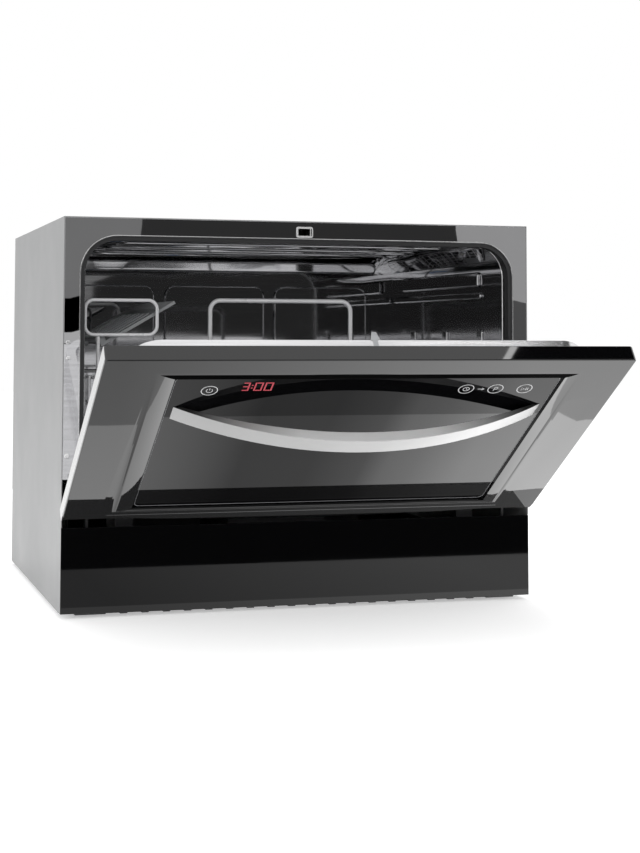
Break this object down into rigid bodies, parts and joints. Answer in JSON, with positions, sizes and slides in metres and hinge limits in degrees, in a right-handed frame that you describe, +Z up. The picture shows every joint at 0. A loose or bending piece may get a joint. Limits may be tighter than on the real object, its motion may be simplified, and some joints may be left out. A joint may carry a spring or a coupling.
{
  "type": "countertop dishwasher",
  "caption": "Compact worktop dishwasher with a drop-down black door, bowed silver handle, steel tub, wire rack, cutlery basket and working wash parts.",
  "frame": {"origin": "centre of the four feet, on the worktop", "axes": "+X right as seen by the user, -Y out of the door side towards the user, +Z up"},
  "size_m": [0.55, 0.7532, 0.438],
  "materials": {
    "black_plastic": "matte",
    "gloss_black": "high gloss",
    "glass_black": "high gloss",
    "silver_paint": "satin metallic",
    "zinc_sheet": "zinc coated",
    "polished_steel": "polished",
    "liner_steel": "bright satin",
    "rubber_black": "matte",
    "felt_mat": "matte",
    "grey_plastic": "satin",
    "filter_steel": "satin",
    "white_plastic": "satin",
    "blue_plastic": "satin",
    "hose_rubber": "matte",
    "board_green": "satin",
    "bracket_steel": "satin",
    "handle_silver": "satin",
    "display_red": "lit",
    "key_print": "printed",
    "dispenser_grey": "satin",
    "rack_wire": "coated"
  },
  "bodies": {
    "cabinet": {"base_pan": "black_plastic", "base_front_panel": "gloss_black", "left_side_panel": "silver_paint", "right_side_panel": "silver_paint", "top_panel": "silver_paint", "back_panel": "zinc_sheet", "front_frame": "polished_steel", "tub": "polished_steel", "tub_gasket": "rubber_black", "insulation_mat": "felt_mat", "sump": "grey_plastic", "coarse_filter": "filter_steel", "spray_hub": "grey_plastic", "wash_pump": "grey_plastic", "flow_heater": "filter_steel", "drain_pump": "grey_plastic", "water_softener": "white_plastic", "inlet_valve": "white_plastic", "drain_outlet": "black_plastic", "air_break": "white_plastic", "inner_hoses": "hose_rubber", "cable_gland": "black_plastic", "power_board": "board_green", "float_switch": "grey_plastic", "door_lock": "black_plastic", "latch_bezel": "polished_steel", "hinge_brackets": "bracket_steel", "rubber_feet": "rubber_black", "cabinet_screws": "bracket_steel", "balance_springs": "bracket_steel"},
    "door": {"door_outer_frame": "gloss_black", "door_centre_panel": "glass_black", "door_inner_liner": "liner_steel", "door_handle": "handle_silver", "display_digits": "display_red", "touch_keys": "key_print", "control_board": "board_green", "detergent_dispenser": "dispenser_grey", "door_hook": "bracket_steel", "hinge_arms": "bracket_steel", "door_seal": "rubber_black", "door_screws": "bracket_steel"},
    "detergent_lid": {"detergent_lid": "dispenser_grey"},
    "rinse_aid_cap": {"rinse_aid_cap": "blue_plastic"},
    "rack": {"wire_rack": "rack_wire", "plate_tines": "rack_wire", "roller_brackets": "rack_wire"},
    "roller_front_left": {"roller_front_left": "white_plastic"},
    "roller_front_right": {"roller_front_right": "white_plastic"},
    "roller_rear_left": {"roller_rear_left": "white_plastic"},
    "roller_rear_right": {"roller_rear_right": "white_plastic"},
    "cup_shelf": {"cup_shelf": "grey_plastic"},
    "cutlery_basket": {"cutlery_basket": "grey_plastic"},
    "spray_arm": {"spray_arm": "grey_plastic"},
    "filter_cylinder": {"filter_cylinder": "grey_plastic"},
    "salt_cap": {"salt_cap": "blue_plastic"},
    "float": {"float_cup": "white_plastic"},
    "pump_impeller": {"pump_impeller": "white_plastic"},
    "drain_impeller": {"drain_impeller": "white_plastic"},
    "lock_bolt": {"lock_bolt": "bracket_steel"}
  },
  "joints": [
    {"name": "door_hinge", "type": "hinge", "parent": "cabinet", "child": "door", "pos_m": [0, -0.2368, 0.1222], "axis": [1, 0, 0], "range_deg": [-56.45, 33.55], "deforming": ["balance_springs"]},
    {"name": "detergent_lid_hinge", "type": "hinge", "parent": "door", "child": "detergent_lid", "pos_m": [-0.035, -0.31893, 0.20282], "axis": [-1, 0, 0], "range_deg": [0, 95]},
    {"name": "rinse_aid_cap_turn", "type": "hinge", "parent": "door", "child": "rinse_aid_cap", "pos_m": [0.048, -0.35086, 0.218], "axis": [0, 0.5527, 0.8334], "range_deg": [0, 90]},
    {"name": "rack_slide", "type": "slide", "parent": "cabinet", "child": "rack", "axis": [0, -1, 0], "range_m": [0, 0.075]},
    {"name": "roller_front_left_spin", "type": "hinge", "parent": "rack", "child": "roller_front_left", "pos_m": [-0.225, -0.12703, 0.151], "axis": [1, 0, 0], "continuous": true},
    {"name": "roller_front_right_spin", "type": "hinge", "parent": "rack", "child": "roller_front_right", "pos_m": [0.225, -0.12703, 0.151], "axis": [1, 0, 0], "continuous": true},
    {"name": "roller_rear_left_spin", "type": "hinge", "parent": "rack", "child": "roller_rear_left", "pos_m": [-0.225, 0.103, 0.151], "axis": [1, 0, 0], "continuous": true},
    {"name": "roller_rear_right_spin", "type": "hinge", "parent": "rack", "child": "roller_rear_right", "pos_m": [0.225, 0.103, 0.151], "axis": [1, 0, 0], "continuous": true},
    {"name": "cup_shelf_fold", "type": "hinge", "parent": "rack", "child": "cup_shelf", "pos_m": [-0.23, -0.06803, 0.303], "axis": [0, -1, 0], "range_deg": [-30, 55]},
    {"name": "cutlery_basket_lift", "type": "slide", "parent": "rack", "child": "cutlery_basket", "axis": [0, 0, 1], "range_m": [0, 0.055]},
    {"name": "spray_arm_spin", "type": "hinge", "parent": "cabinet", "child": "spray_arm", "pos_m": [0, -0.01551, 0.143], "axis": [0, 0, 1], "continuous": true},
    {"name": "filter_twist", "type": "hinge", "parent": "cabinet", "child": "filter_cylinder", "pos_m": [0, -0.07551, 0.118], "axis": [0, 0, 1], "range_deg": [0, 90]},
    {"name": "salt_cap_turn", "type": "hinge", "parent": "cabinet", "child": "salt_cap", "pos_m": [-0.15, -0.11, 0.118], "axis": [0, 0, 1], "range_deg": [0, 540]},
    {"name": "float_lift", "type": "slide", "parent": "cabinet", "child": "float", "axis": [0, 0, 1], "range_m": [0, 0.01]},
    {"name": "wash_pump_spin", "type": "hinge", "parent": "cabinet", "child": "pump_impeller", "pos_m": [0.06, 0.06, 0.062], "axis": [1, 0, 0], "continuous": true},
    {"name": "drain_pump_spin", "type": "hinge", "parent": "cabinet", "child": "drain_impeller", "pos_m": [-0.06, 0.02, 0.06], "axis": [1, 0, 0], "continuous": true},
    {"name": "lock_bolt_slide", "type": "slide", "parent": "cabinet", "child": "lock_bolt", "axis": [-1, 0, 0], "range_m": [0, 0.006], "stiffness_N_per_m": 60}
  ],
  "couplings": [
    {"joint": "roller_front_left_spin", "follows": "rack_slide", "rad_per_m": 83.333},
    {"joint": "roller_front_right_spin", "follows": "rack_slide", "rad_per_m": 83.333},
    {"joint": "roller_rear_left_spin", "follows": "rack_slide", "rad_per_m": 83.333},
    {"joint": "roller_rear_right_spin", "follows": "rack_slide", "rad_per_m": 83.333}
  ]
}
